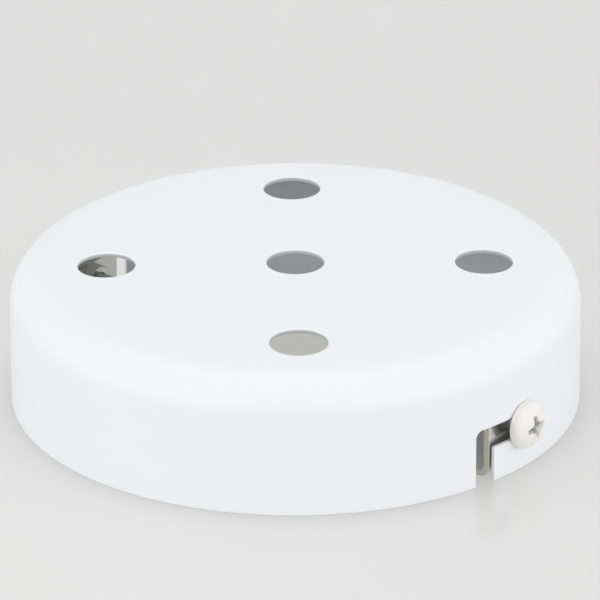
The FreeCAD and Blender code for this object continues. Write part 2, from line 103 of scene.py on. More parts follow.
outward = Vector((math.sin(CAMERA_AZIMUTH) * math.cos(CAMERA_ELEVATION),
                  -math.cos(CAMERA_AZIMUTH) * math.cos(CAMERA_ELEVATION),
                  math.sin(CAMERA_ELEVATION)))
sideways = Vector((math.cos(CAMERA_AZIMUTH), math.sin(CAMERA_AZIMUTH), 0))
facing = Matrix((sideways, outward.cross(sideways), outward)).transposed().to_4x4()
small_turns = (Matrix.Rotation(CAMERA_PAN, 4, "Y") @ Matrix.Rotation(CAMERA_TILT, 4, "X")
               @ Matrix.Rotation(CAMERA_ROLL, 4, "Z"))

lens = bpy.data.cameras.new("product_camera")
lens.lens = FOCAL_LENGTH
lens.sensor_width = SENSOR_WIDTH
lens.clip_end = 20
camera = bpy.data.objects.new("product_camera", lens)
camera.matrix_world = Matrix.Translation(outward * CAMERA_DISTANCE * MM) @ facing @ small_turns
bpy.context.collection.objects.link(camera)
bpy.context.scene.camera = camera
bpy.context.scene.view_settings.view_transform = "Standard"


def as_seen(right, away, up):
    """Turn a place given as the camera sees it into the frame's own axes."""
    ahead = Vector((-math.sin(CAMERA_AZIMUTH), math.cos(CAMERA_AZIMUTH), 0))
    return sideways * right + ahead * away + Vector((0, 0, up))


print("camera at", [round(v, 3) for v in camera.matrix_world.translation])

# %% [markdown]
# ## Small tools for materials
#
# Paint charts give colours as sRGB hex values, and the renderer works in linear light,
# so one function converts. Another adds a shader node, sets its inputs and links it,
# which keeps each material readable from top to bottom. The last two begin and end a
# material. Where a node has several inputs of one name, they go by number: a colour mix
# has its two colours at 6 and 7, and its result at output 2. Noise mostly stays between
# 0.3 and 0.7, so a value that follows noise is spread over that range.

# %% Colour and node helpers
NOISE_LOW = 0.3
NOISE_HIGH = 0.7


def srgb(code):
    """Turn an sRGB hex value such as D8D8D8 into linear red, green, blue and alpha."""
    parts = [int(code[place:place + 2], 16) / 255 for place in (0, 2, 4)]
    line = [v / 12.92 if v <= 0.04045 else ((v + 0.055) / 1.055) ** 2.4 for v in parts]
    return (*line, 1.0)


def add_node(tree, kind, links=None, values=None, **settings):
    """Add a shader node; links and values go to its inputs by name or by number."""
    node = tree.nodes.new(kind)
    for name, value in settings.items():
        setattr(node, name, value)
    for name, value in (values or {}).items():
        node.inputs[name].default_value = value
    for name, source in (links or {}).items():
        tree.links.new(source, node.inputs[name])
    return node


def new_material(name):
    """Make an empty node material and return it with its tree."""
    material = bpy.data.materials.new(name)
    material.use_nodes = True
    material.node_tree.nodes.clear()
    return material, material.node_tree


def finish_material(tree, shader):
    """Link a shader to the surface output."""
    add_node(tree, "ShaderNodeOutputMaterial", links={"Surface": shader.outputs[0]})


print("mid grey 808080 in linear light:", round(srgb("808080")[0], 3))

# %% [markdown]
# ## Table and light
#
# The piece lies on a sheet of opal acrylic that is lit from below, the usual product
# table. Light that enters such a sheet spreads sideways in it before it leaves, so it
# creeps under the rim and leaves only a soft, pale shadow there. Subsurface scattering
# does the same. Two lamps seem to shine up through the sheet. The wide one in front fades
# with distance, and the small one under the cup is why the inside, seen through the
# outlets, is a mid grey and not black. They could be real lamps below the sheet, but a
# glow in its surface is cleaner and much faster. Acrylic is smooth, so it also mirrors
# the cup where the camera looks along it.

# %% Acrylic that glows from below
ACRYLIC_WHITE = srgb("B8B8BA")
GLOW_WHITE = srgb("FFFEF8")
SCATTER_REACH = 30.0
FRONT_LAMP = (-30.0, -50.0)
FRONT_GLOW = 0.285
GLOW_LOSS_PER_MM = 0.0004
LOSS_REACH = 170.0
CUP_LAMP = (0.0, 0.5)
INSIDE_GLOW = 0.10
INSIDE_FADE = 5.0

acrylic, tree = new_material("cast_acrylic_sheet")
place = add_node(tree, "ShaderNodeTexCoord")
lamp_spot = as_seen(*FRONT_LAMP, 0) * MM
front_reach = add_node(tree, "ShaderNodeVectorMath", links={0: place.outputs["Object"]},
                       values={1: lamp_spot}, operation="DISTANCE")
front_glow = add_node(tree, "ShaderNodeMapRange", links={"Value": front_reach.outputs["Value"]},
                      values={"From Max": LOSS_REACH * MM, "To Min": FRONT_GLOW,
                              "To Max": FRONT_GLOW - GLOW_LOSS_PER_MM * LOSS_REACH})
cup_spot = as_seen(*CUP_LAMP, 0) * MM
cup_reach = add_node(tree, "ShaderNodeVectorMath", links={0: place.outputs["Object"]},
                     values={1: cup_spot}, operation="DISTANCE")
inside_glow = add_node(tree, "ShaderNodeMapRange", links={"Value": cup_reach.outputs["Value"]},
                       values={"From Min": (CUP_RADIUS - INSIDE_FADE) * MM,
                               "From Max": (CUP_RADIUS - SHEET) * MM,
                               "To Min": INSIDE_GLOW, "To Max": 0.0},
                       interpolation_type="SMOOTHSTEP")
glow = add_node(tree, "ShaderNodeMath", links={0: front_glow.outputs["Result"],
                                               1: inside_glow.outputs["Result"]},
                operation="ADD")
acrylic_shader = add_node(tree, "ShaderNodeBsdfPrincipled", values={
    "Base Color": ACRYLIC_WHITE, "Roughness": 0.22, "IOR": 1.49,
    "Subsurface Weight": 1.0, "Subsurface Radius": (1.0, 1.0, 1.0),
    "Subsurface Scale": SCATTER_REACH * MM,
    "Emission Color": GLOW_WHITE}, links={"Emission Strength": glow.outputs["Value"]},
    subsurface_method="BURLEY")
print("table:", acrylic.name, f"scatters light over {SCATTER_REACH:.0f} mm")

# %% [markdown]
# The sheet is a single face, so it has no underside of its own. Seen from below it is
# made clear, so that the open side of the rose can be looked at too. It lies a hair
# below the rim, or the two faces would fight for the same pixels.

# %% Lay the table
TABLE_SIZE = 6000.0
TABLE_DROP = 0.03

which_side = add_node(tree, "ShaderNodeNewGeometry")
clear = add_node(tree, "ShaderNodeBsdfTransparent")
table_surface = add_node(tree, "ShaderNodeMixShader",
                         links={0: which_side.outputs["Backfacing"], 1: acrylic_shader.outputs[0],
                                2: clear.outputs[0]})
finish_material(tree, table_surface)

half = TABLE_SIZE / 2 * MM
level = -TABLE_DROP * MM
table_mesh = bpy.data.meshes.new("table")
table_mesh.from_pydata([(x, y, level) for x, y in
                        ((-half, -half), (half, -half), (half, half), (-half, half))],
                       [], [(0, 1, 2, 3)])
table = bpy.data.objects.new("table", table_mesh)
table_mesh.materials.append(acrylic)
bpy.context.collection.objects.link(table)
print(f"table: {TABLE_SIZE / 1000:.0f} m square")

# %% [markdown]
# A white object needs light from all round, or it turns grey on one side. The world is
# an even white tent. A softbox hangs overhead, and a wide, low one stands at each side, a
# little in front of the cup, so that the curved wall is as bright at its sides as in the
# middle. A smooth table would mirror those two as a glare from across the room, so they
# are kept out of reflections, which show the tent alone. Together the lamps give a level
# at which a colour renders about as it is written.

# %% Hang the lights
TENT_LEVEL = 0.84
OVERHEAD_SIZE = 600
OVERHEAD_WATTS = 0.4
OVERHEAD_PLACE = (-80, 60, 900)
SIDE_WIDTH = 2600
SIDE_HEIGHT = 1000
LEFT_WATTS = 8.9
LEFT_PLACE = (-1330, -720, 430)
RIGHT_WATTS = 9.1
RIGHT_PLACE = (1370, -620, 430)


def add_softbox(name, width, height, watts, place):
    """Add an area lamp at a place as the camera sees it, turned to face the cup."""
    lamp = bpy.data.lights.new(name, "AREA")
    lamp.shape = "RECTANGLE"
    lamp.size = width * MM
    lamp.size_y = height * MM
    lamp.energy = watts
    holder = bpy.data.objects.new(name, lamp)
    spot = as_seen(*place) * MM
    aim = (-spot).to_track_quat("-Z", "Y")
    holder.matrix_world = Matrix.Translation(spot) @ aim.to_matrix().to_4x4()
    bpy.context.collection.objects.link(holder)
    return holder


add_softbox("overhead_softbox", OVERHEAD_SIZE, OVERHEAD_SIZE, OVERHEAD_WATTS, OVERHEAD_PLACE)
left_box = add_softbox("left_softbox", SIDE_WIDTH, SIDE_HEIGHT, LEFT_WATTS, LEFT_PLACE)
right_box = add_softbox("right_softbox", SIDE_WIDTH, SIDE_HEIGHT, RIGHT_WATTS, RIGHT_PLACE)
for box in (left_box, right_box):
    box.visible_glossy = False

tent = bpy.data.worlds.new("white_tent")
bpy.context.scene.world = tent
tent.use_nodes = True
tent.node_tree.nodes.clear()
tent_light = add_node(tent.node_tree, "ShaderNodeBackground",
                      values={"Color": srgb("FFFFFF"), "Strength": TENT_LEVEL})
add_node(tent.node_tree, "ShaderNodeOutputWorld", links={"Surface": tent_light.outputs[0]})

# %% [markdown]
# ## Powder coat
#
# Powder coat is dry polyester paint, baked until it flows. It gives the eye three
# things: a clean white, a satin sheen, and orange peel, a very shallow waviness about a
# millimetre across. The bump below is that waviness, drawn a little coarser than life.
# Polyester has an IOR near 1.5. The white is a cool one, and both it and the sheen drift
# a little over a couple of centimetres, as a sprayed surface does.

# %% Powder coat on the cup
PEEL_WAVE = 1.1
PEEL_DEPTH = 0.006
SPRAY_DRIFT = 22.0

powder_coat, tree = new_material("satin_polyester_powder_coat")
place = add_node(tree, "ShaderNodeTexCoord")
peel = add_node(tree, "ShaderNodeTexNoise", links={"Vector": place.outputs["Object"]},
                values={"Scale": 1 / (PEEL_WAVE * MM), "Detail": 2.0, "Roughness": 0.45})
peel_bump = add_node(tree, "ShaderNodeBump", links={"Height": peel.outputs["Fac"]},
                     values={"Strength": 1.0, "Distance": PEEL_DEPTH * MM})
cloud = add_node(tree, "ShaderNodeTexNoise", links={"Vector": place.outputs["Object"]},
                 values={"Scale": 1 / (SPRAY_DRIFT * MM), "Detail": 3.0})
sheen = add_node(tree, "ShaderNodeMapRange", links={"Value": cloud.outputs["Fac"]},
                 values={"From Min": NOISE_LOW, "From Max": NOISE_HIGH,
                         "To Min": 0.36, "To Max": 0.42})
tone = add_node(tree, "ShaderNodeMix", links={"Factor": cloud.outputs["Fac"]},
                values={6: srgb("EDEEF2"), 7: srgb("EFF0F4")}, data_type="RGBA")
coat_shader = add_node(tree, "ShaderNodeBsdfPrincipled",
                       links={"Base Color": tone.outputs[2], "Roughness": sheen.outputs["Result"],
                              "Normal": peel_bump.outputs["Normal"]},
                       values={"IOR": 1.5})
finish_material(tree, coat_shader)
print("finish:", powder_coat.name, f"with orange peel {PEEL_WAVE} mm across")

# %% [markdown]
# Charged powder flies to the outside of a cup and hardly into its inside corners, so the
# coat there is thin. The inside gets a material of its own, which is as white as the
# outside at the rim and turns greyer towards the top. That grey is painted shade, for the
# shaded top of the closed cup, laid on the thin coat. The edges of the punched holes catch
# as little powder and share the material, so they get the painted shade too.

# %% Thin coat and painted shade inside the cup
FULL_COAT_HEIGHT = 12.0
THIN_COAT_HEIGHT = 24.0
GREY_PATCH_SIZE = 6.0
GREY_PATCH_SHARE = 0.2

thin_coat_and_shade, tree = new_material("thin_coat_painted_shade_inside")
place = add_node(tree, "ShaderNodeTexCoord")
where = add_node(tree, "ShaderNodeSeparateXYZ", links={"Vector": place.outputs["Object"]})
shade_by_height = add_node(tree, "ShaderNodeMapRange", links={"Value": where.outputs["Z"]},
                    values={"From Min": FULL_COAT_HEIGHT * MM, "From Max": THIN_COAT_HEIGHT * MM})
# Noise makes the painted grey patchy.
dust = add_node(tree, "ShaderNodeTexNoise", links={"Vector": place.outputs["Object"]},
                values={"Scale": 1 / (GREY_PATCH_SIZE * MM), "Detail": 4.0})
uneven = add_node(tree, "ShaderNodeMath", links={0: dust.outputs["Fac"]},
                  values={1: GREY_PATCH_SHARE, 2: -GREY_PATCH_SHARE / 2}, operation="MULTIPLY_ADD")
share = add_node(tree, "ShaderNodeMath", links={0: shade_by_height.outputs["Result"],
                                                1: uneven.outputs["Value"]},
                 operation="ADD", use_clamp=True)
# Painted shade: the inside greys from EDEEF2 at the rim to CCCED1 towards the top, and the outlets' cut edges
# share it.
tone = add_node(tree, "ShaderNodeMix", links={"Factor": share.outputs["Value"]},
                values={6: srgb("EDEEF2"), 7: srgb("CCCED1")}, data_type="RGBA")
thin_coat_shade_shader = add_node(tree, "ShaderNodeBsdfPrincipled", links={"Base Color": tone.outputs[2]},
                       values={"Roughness": 0.5, "IOR": 1.5})
finish_material(tree, thin_coat_shade_shader)
print(f"thin coat: from {FULL_COAT_HEIGHT} mm above the rim to {THIN_COAT_HEIGHT} mm")

# %% [markdown]
# ## From flat pattern to formed sheet
#
# The real cup is one disc of sheet: drawn in a press, then punched. A mesh could start
# as a revolved profile with the holes cut out by booleans, but booleans leave slivers
# round every hole. Here each area is drawn flat first, as points with rings round every
# opening, and triangulated. The flat pattern is then bent into place, so the triangles
# stay even and every edge is clean enough to be rounded.

# %% Flat pattern helpers
SAME_POINT = 1e-5


def circle_points(centre, radius, count):
    """Return points evenly round a circle."""
    turns = [2 * math.pi * step / count for step in range(count)]
    return [Vector((centre[0] + radius * math.cos(a), centre[1] + radius * math.sin(a)))
            for a in turns]


def inside(point, outline):
    """Tell whether a point lies inside a closed outline."""
    crossings = 0
    for one, two in zip(outline, outline[1:] + outline[:1]):
        if (one.y > point.y) != (two.y > point.y):
            along = (point.y - one.y) / (two.y - one.y)
            if point.x < one.x + along * (two.x - one.x):
                crossings += 1
    return crossings % 2 == 1


def triangulate(points, chains, openings):
    """Triangulate points; chains of points stay as edges and openings stay open."""
    spots = list(points)
    edges = []
    for chain, closed in chains:
        first = len(spots)
        spots.extend(chain)
        last = len(spots) if closed else len(spots) - 1
        edges.extend((n, n + 1 if n + 1 < len(spots) else first) for n in range(first, last))
    spots, _, faces, *_ = delaunay_2d_cdt(spots, edges, [], 0, SAME_POINT)
    kept = []
    for face in faces:
        middle = sum((spots[n] for n in face), Vector((0, 0))) / len(face)
        if not any(inside(middle, opening) for opening in openings):
            kept.append(face)
    return spots, kept


washer = [circle_points((0, 0), radius, 8) for radius in (1, 2)]
_, washer_faces = triangulate([], [(ring, True) for ring in washer], [washer[0]])
print("a washer of two rings of 8 points takes", len(washer_faces), "triangles")

# %% [markdown]
# A flat pattern becomes part of a piece when each of its points is bent into place. Once
# all the areas of a piece are in, points that meet are welded, loose ones go, and the
# piece is scaled from millimetres to the frame's metres.

# %% Bending and joining helpers
WELD_REACH = 0.001


def add_patch(mesh, spots, faces, form):
    """Add a triangulated pattern to a bmesh; form bends each flat point into place."""
    corners = [mesh.verts.new(form(spot)) for spot in spots]
    for face in faces:
        mesh.faces.new([corners[n] for n in face])


def make_piece(name, mesh, material):
    """Turn a bmesh in millimetres into a smooth object in metres."""
    bmesh.ops.remove_doubles(mesh, verts=mesh.verts, dist=WELD_REACH)
    bmesh.ops.delete(mesh, geom=[v for v in mesh.verts if not v.link_faces], context="VERTS")
    bmesh.ops.recalc_face_normals(mesh, faces=mesh.faces)
    bmesh.ops.scale(mesh, vec=(MM, MM, MM), verts=mesh.verts)
    data = bpy.data.meshes.new(name)
    mesh.to_mesh(data)
    mesh.free()
    data.materials.append(material)
    data.shade_smooth()
    piece = bpy.data.objects.new(name, data)
    bpy.context.collection.objects.link(piece)
    return piece


print(f"points closer than {WELD_REACH} mm are welded")

# %% [markdown]
# ## The cup's section
#
# The top is slightly domed, which keeps thin sheet from drumming and sagging. It meets
# the wall in a round shoulder. The dome is part of a very large sphere, and the shoulder
# circle touches both the sphere and the wall, so light runs over it without a crease.

# %% Work out dome and shoulder
SHOULDER_RADIUS = 6.5
TOP_CROWN = 0.5
AROUND = 288

flat_reach = CUP_RADIUS - SHOULDER_RADIUS
dome_radius = (flat_reach ** 2 + TOP_CROWN ** 2) / (2 * TOP_CROWN)
dome_centre = CUP_HEIGHT - dome_radius
shoulder_height = dome_centre + math.sqrt((dome_radius - SHOULDER_RADIUS) ** 2 - flat_reach ** 2)
meeting_turn = math.atan2(shoulder_height - dome_centre, flat_reach)
meeting_radius = dome_radius * math.cos(meeting_turn)
print(f"dome radius {dome_radius:.0f} mm, shoulder starts {meeting_radius:.2f} mm out")

# %% [markdown]
# ## Where the outlets sit
#
# At rest a screw stands at the far end of its slot's arm, in line with the strap, so the
# slot's middle lies a few degrees to one side of it. The four outer outlets are set out
# from there, the nearest ones an eighth of a turn to either side of a slot's middle.
# Their turn could be typed in, but the slot's own sizes give it, so it is worked out.

# %% Place the outlets
SLOT_SPAN = 13.6
SLOT_WIDTH = 4.05

slot_seat = (SLOT_SPAN - SLOT_WIDTH) / 2
slot_turn = math.asin(slot_seat / (CUP_RADIUS - SHEET / 2))
outlet_turn = math.pi / OUTLET_COUNT - slot_turn
outlets = [(0.0, 0.0)]
for step in range(OUTLET_COUNT):
    turn = outlet_turn + 2 * math.pi * step / OUTLET_COUNT
    outlets.append((OUTLET_CIRCLE * math.cos(turn), OUTLET_CIRCLE * math.sin(turn)))
print(f"slots lie {math.degrees(slot_turn):.2f} degrees beside the strap, the first outlet",
      f"{math.degrees(outlet_turn):.2f} degrees round")

# %% [markdown]
# ## The punched top
#
# A punch draws the sheet down a hair before it cuts, so a punched edge is round on the
# outside. The rings below lower the sheet beside each outlet by that roll. Further away
# circles of points round the middle keep the triangles even.

# %% Draw the top
ROLL_DEPTH = 0.10
ROLL_REACH = 0.7
OUTLET_RINGS = (0.0, 0.35, 0.8, 1.6, 2.8)
OUTLET_STEPS = 72
FINE_REACH = 1.0
TOP_STEP = 3.0
FEWEST_POINTS = 12


def to_nearest_outlet(point):
    """Return the distance from a point of the top to the edge of the nearest outlet."""
    return min(math.dist(point, centre) for centre in outlets) - OUTLET_RADIUS


def form_top(spot):
    """Lift a flat point onto the dome and roll it down beside an outlet."""
    height = dome_centre + math.sqrt(dome_radius ** 2 - spot.length_squared)
    near = max(0.0, 1 - to_nearest_outlet(spot) / ROLL_REACH)
    return (spot.x, spot.y, height - ROLL_DEPTH * near * near)


pattern = []
for ring in range(1, int(meeting_radius / TOP_STEP) + 1):
    radius = ring * TOP_STEP
    if meeting_radius - radius > TOP_STEP / 2:
        count = max(FEWEST_POINTS, round(2 * math.pi * radius / TOP_STEP))
        pattern += [spot for spot in circle_points((0, 0), radius, count)
                    if to_nearest_outlet(spot) > OUTLET_RINGS[-1] + TOP_STEP / 2]
pattern += circle_points((0, 0), meeting_radius - TOP_STEP / 3, AROUND // 2)
holes = [circle_points(centre, OUTLET_RADIUS, OUTLET_STEPS) for centre in outlets]
chains = [(circle_points((0, 0), meeting_radius, AROUND), True)]
for centre in outlets:
    for grow in OUTLET_RINGS:
        count = OUTLET_STEPS if grow < FINE_REACH else OUTLET_STEPS // 2
        chains.append((circle_points(centre, OUTLET_RADIUS + grow, count), True))

cup = bmesh.new()
top_spots, top_faces = triangulate(pattern, chains, holes)
add_patch(cup, top_spots, top_faces, form_top)
print("top:", len(top_faces), "triangles")

# %% [markdown]
# ## Shoulder
#
# In the press the sheet flows round the die's rounded edge, which leaves a round shoulder
# between top and wall. A spun profile would draw it too. Rings of points are as short to
# write, and their first ring has the same points as the edge of the top, so they weld.

# %% Draw the shoulder
SHOULDER_STEPS = 14

rows = []
for step in range(SHOULDER_STEPS + 1):
    turn = meeting_turn * (1 - step / SHOULDER_STEPS)
    radius = flat_reach + SHOULDER_RADIUS * math.cos(turn)
    height = shoulder_height + SHOULDER_RADIUS * math.sin(turn)
    rows.append([cup.verts.new((spot.x, spot.y, height))
                 for spot in circle_points((0, 0), radius, AROUND)])
for upper, lower in zip(rows, rows[1:]):
    for n in range(AROUND):
        cup.faces.new((upper[n - 1], upper[n], lower[n], lower[n - 1]))
print("shoulder:", SHOULDER_STEPS * AROUND, "faces")

# %% [markdown]
# ## The L-shaped slots
#
# Each side screw enters its slot at the rim, and a small turn of the cup brings it to the
# end of the arm, where it is tightened. A flat punch cuts the slot in one stroke, so the
# outline is drawn as that punch sees it, square on. The same outline, grown by a little,
# gives rings of even triangles round the slot.

# %% Slot outline
SLOT_CORNER = 1.3
LIP_CORNER = 0.3
ARC_STEPS = 6


def slot_outline(grow):
    """Outline of a slot seen square on, grown outwards into the sheet by some millimetres."""
    left = -SLOT_SPAN / 2 - grow
    lip = -SLOT_SPAN / 2 + SLOT_WIDTH + grow
    half_width = SLOT_WIDTH / 2 + grow
    corner = SLOT_CORNER + grow
    edge = max(LIP_CORNER - grow, 0.0)
    rounds = [
        (left + corner, SCREW_HEIGHT + half_width - corner, corner, 180, 90),
        (slot_seat, SCREW_HEIGHT, half_width, 90, -90),
        (lip + edge, SCREW_HEIGHT - half_width - edge, edge, 90, 180),
    ]
    corners = [Vector((left, 0))]
    for across, up, radius, begin, end in rounds:
        steps = ARC_STEPS * max(1, abs(end - begin) // 90) if radius > 0 else 0
        for n in range(steps + 1):
            turn = math.radians(begin + (end - begin) * n / max(steps, 1))
            corners.append(Vector((across + radius * math.cos(turn), up + radius * math.sin(turn))))
    corners.append(Vector((lip, 0)))
    return corners


print(f"slots: {SLOT_SPAN} mm wide with their arm, cut by a {SLOT_WIDTH} mm punch")

# %% [markdown]
# ## Unroll and roll up
#
# A round wall can't be triangulated flat as it stands, so it is unrolled to a strip as
# long as the cup's girth. The punch goes straight while the wall curves away from it, so
# the slots are a hair longer on the strip than they are seen square on.

# %% Wall helpers
def spread(corners, longest):
    """Add points along an outline so that no stretch is longer than asked."""
    points = [corners[0]]
    for start, end in zip(corners, corners[1:]):
        parts = max(1, math.ceil((end - start).length / longest))
        points += [start.lerp(end, n / parts) for n in range(1, parts + 1)]
    return points


def unroll(outline, turn):
    """Lay an outline that was drawn square to the wall onto the unrolled strip."""
    return [Vector((CUP_RADIUS * (turn + math.asin(p.x / CUP_RADIUS)), p.y)) for p in outline]


def roll_up(spot):
    """Bend a point of the unrolled strip round the cup's axis."""
    turn = spot.x / CUP_RADIUS
    return (CUP_RADIUS * math.cos(turn), CUP_RADIUS * math.sin(turn), spot.y)


print(f"strip: {2 * math.pi * CUP_RADIUS:.1f} mm long")

# %% [markdown]
# ## The wall
#
# The strip is filled with rows of points, finest at the rim, which keep clear of the
# slots and of the rings round them. Its upper edge has the same points as the shoulder's
# last ring. Its two ends meet at a seam about a quarter turn from the slots, and weld.

# %% Draw the wall
SLOT_RINGS = (0.0, 0.35, 0.9, 1.8)
FINE_RINGS = 2
FINE_STEP = 0.6
COARSE_STEP = 1.2
WALL_ROWS = (0.0, 0.35, 0.9, 1.8, 3.0, 4.5, 6.5, 8.5, 10.5, 12.5, 14.5, 16.5)
COARSE_ABOVE = 1.8
SEAM_TURN = -math.pi / 2

slot_turns = [-slot_turn, math.pi - slot_turn]
bands = [unroll(spread(slot_outline(SLOT_RINGS[-1]), COARSE_STEP), turn) for turn in slot_turns]
columns = [CUP_RADIUS * (SEAM_TURN + 2 * math.pi * n / AROUND) for n in range(AROUND + 1)]
pattern = []
for height in (*WALL_ROWS, shoulder_height):
    for n, along in enumerate(columns):
        left_out = COARSE_ABOVE < height < shoulder_height and n % 2
        spot = Vector((along, height))
        if not left_out and not any(inside(spot, band) for band in bands):
            pattern.append(spot)
chains = []
for turn in slot_turns:
    for number, grow in enumerate(SLOT_RINGS):
        step = FINE_STEP if number < FINE_RINGS else COARSE_STEP
        chains.append((unroll(spread(slot_outline(grow), step), turn), False))
openings = [unroll(spread(slot_outline(0.0), FINE_STEP), turn) for turn in slot_turns]
wall_spots, wall_faces = triangulate(pattern, chains, openings)
add_patch(cup, wall_spots, wall_faces, roll_up)
print("wall:", len(wall_faces), "triangles")

# %% [markdown]
# ## Thickness and soft edges
#
# Solidify gives the formed skin its sheet thickness, inwards, and gives the inside and
# the cut edges their thin coat with its painted shade. Powder coat pulls back from sharp
# edges and rounds them, so a narrow bevel softens every cut edge. Overlap clamping would shrink the whole bevel
# to suit the smallest edge near it, so it is off.

# %% Give the sheet its thickness
COAT_EDGE = 0.2
CUT_TURN = 40
EDGE_FACETS = 3


def soften(piece, width, angle):
    """Round the edges that are sharper than an angle, and keep flat faces flat."""
    bevel = piece.modifiers.new("soft_edges", "BEVEL")
    bevel.width = width * MM
    bevel.segments = EDGE_FACETS
    bevel.limit_method = "ANGLE"
    bevel.angle_limit = math.radians(angle)
    bevel.use_clamp_overlap = False
    weighted = piece.modifiers.new("even_shading", "WEIGHTED_NORMAL")
    weighted.keep_sharp = True


shell = make_piece("cup_shell", cup, powder_coat)
shell.data.materials.append(thin_coat_and_shade)
thickness = shell.modifiers.new("sheet", "SOLIDIFY")
thickness.thickness = SHEET * MM
thickness.offset = -1
thickness.material_offset = 1
thickness.material_offset_rim = 1
thickness.use_even_offset = True
soften(shell, COAT_EDGE, CUT_TURN)
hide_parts("cover")
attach(shell, "cover")
print("cup shell:", len(shell.data.vertices), "points before its modifiers")

# %% [markdown]
# ## Zinc plate
#
# All three screws are zinc plated steel. Zinc plate is a thin bright metal with a cool,
# slightly cloudy look. A metal's colour is its reflection, so it is set as the base
# colour of a fully metallic shader. The crystals that cloud it are too fine to show, so
# the noise draws them half a millimetre wide.

# %% Zinc plate on the earth screw and washer
ZINC_CLOUD = 0.5

zinc_plate, tree = new_material("bright_zinc_plate")
place = add_node(tree, "ShaderNodeTexCoord")
grain = add_node(tree, "ShaderNodeTexNoise", links={"Vector": place.outputs["Object"]},
                 values={"Scale": 1 / (ZINC_CLOUD * MM), "Detail": 4.0})
tone = add_node(tree, "ShaderNodeMix", links={"Factor": grain.outputs["Fac"]},
                values={6: srgb("B9BEC2"), 7: srgb("D6DADC")}, data_type="RGBA")
gloss = add_node(tree, "ShaderNodeMapRange", links={"Value": grain.outputs["Fac"]},
                 values={"From Min": NOISE_LOW, "From Max": NOISE_HIGH,
                         "To Min": 0.24, "To Max": 0.40})
zinc_shader = add_node(tree, "ShaderNodeBsdfPrincipled",
                       links={"Base Color": tone.outputs[2], "Roughness": gloss.outputs["Result"]},
                       values={"Metallic": 1.0})
finish_material(tree, zinc_shader)
print("plate:", zinc_plate.name, f"with clouds {ZINC_CLOUD} mm across")

# %% [markdown]
# ## Paint over zinc
#
# The side screws' heads are painted to go with the cup, in a slightly warmer white. A
# screw is painted by tumbling, so the paint is thick and smooth on the dome, thin on the
# edges of the recess, and missing inside it and under the head. The mask could be drawn
# by hand. Here it reads how far a point lies from the screw's axis and how deep it lies
# under the dome, which fits any size of head, and noise makes its edge ragged.

# %% Where the paint is missing
HEAD_DOME = 6.5
RECESS_REACH = 2.9
PAINT_RAG = 0.42
PAINT_ENDS = (0.02, 1.60)
UNDER_HEAD = -0.05

painted_height = (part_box("side_screw_1")[1].x - joints["side_screw_1_turn"]["pos_m"][0]) / MM
enamel_screw, tree = new_material("white_enamel_over_zinc")
place = add_node(tree, "ShaderNodeTexCoord")
where = add_node(tree, "ShaderNodeSeparateXYZ", links={"Vector": place.outputs["Object"]})
across = add_node(tree, "ShaderNodeCombineXYZ",
                  links={"X": where.outputs["X"], "Y": where.outputs["Y"]})
reach = add_node(tree, "ShaderNodeVectorMath", links={0: across.outputs["Vector"]},
                 operation="LENGTH")
square = add_node(tree, "ShaderNodeMath", links={0: reach.outputs["Value"]},
                  values={1: 2.0}, operation="POWER")
under = add_node(tree, "ShaderNodeMath", links={1: square.outputs["Value"]},
                 values={0: (HEAD_DOME * MM) ** 2}, operation="SUBTRACT")
dome = add_node(tree, "ShaderNodeMath", links={0: under.outputs["Value"]}, operation="SQRT")
rise = add_node(tree, "ShaderNodeMath", links={0: dome.outputs["Value"]},
                values={1: (painted_height - HEAD_DOME) * MM}, operation="ADD")
depth = add_node(tree, "ShaderNodeMath", links={0: rise.outputs["Value"], 1: where.outputs["Z"]},
                 operation="SUBTRACT")
rag = add_node(tree, "ShaderNodeTexNoise", links={"Vector": place.outputs["Object"]},
               values={"Scale": 1 / (PAINT_RAG * MM), "Detail": 5.0, "Roughness": 0.6})
limit = add_node(tree, "ShaderNodeMapRange", links={"Value": rag.outputs["Fac"]},
                 values={"From Min": 0.35, "From Max": 0.65,
                         "To Min": PAINT_ENDS[0] * MM, "To Max": PAINT_ENDS[1] * MM})
deep = add_node(tree, "ShaderNodeMath", links={0: depth.outputs["Value"], 1: limit.outputs["Result"]},
                operation="GREATER_THAN")
central = add_node(tree, "ShaderNodeMath", links={0: reach.outputs["Value"]},
                   values={1: RECESS_REACH * MM}, operation="LESS_THAN")
below = add_node(tree, "ShaderNodeMath", links={0: where.outputs["Z"]},
                 values={1: UNDER_HEAD * MM}, operation="LESS_THAN")
in_recess = add_node(tree, "ShaderNodeMath",
                     links={0: deep.outputs["Value"], 1: central.outputs["Value"]},
                     operation="MULTIPLY")
bare = add_node(tree, "ShaderNodeMath",
                links={0: in_recess.outputs["Value"], 1: below.outputs["Value"]},
                operation="MAXIMUM")
print(f"paint ends {PAINT_ENDS[0]} to {PAINT_ENDS[1]} mm deep in a {painted_height:.2f} mm high head")

# %% [markdown]
# The enamel is glossier than powder coat, so each head carries a small clear highlight,
# broken by low waves that the tumbling leaves. The bare zinc is scuffed: its grains run
# from dark to almost white, and it isn't fully metallic, because dust dulls it.

# %% Enamel and scuffed zinc on the side screws
ENAMEL_WAVE = 0.9
ENAMEL_DEPTH = 0.02
SCUFF_SIZE = 0.35

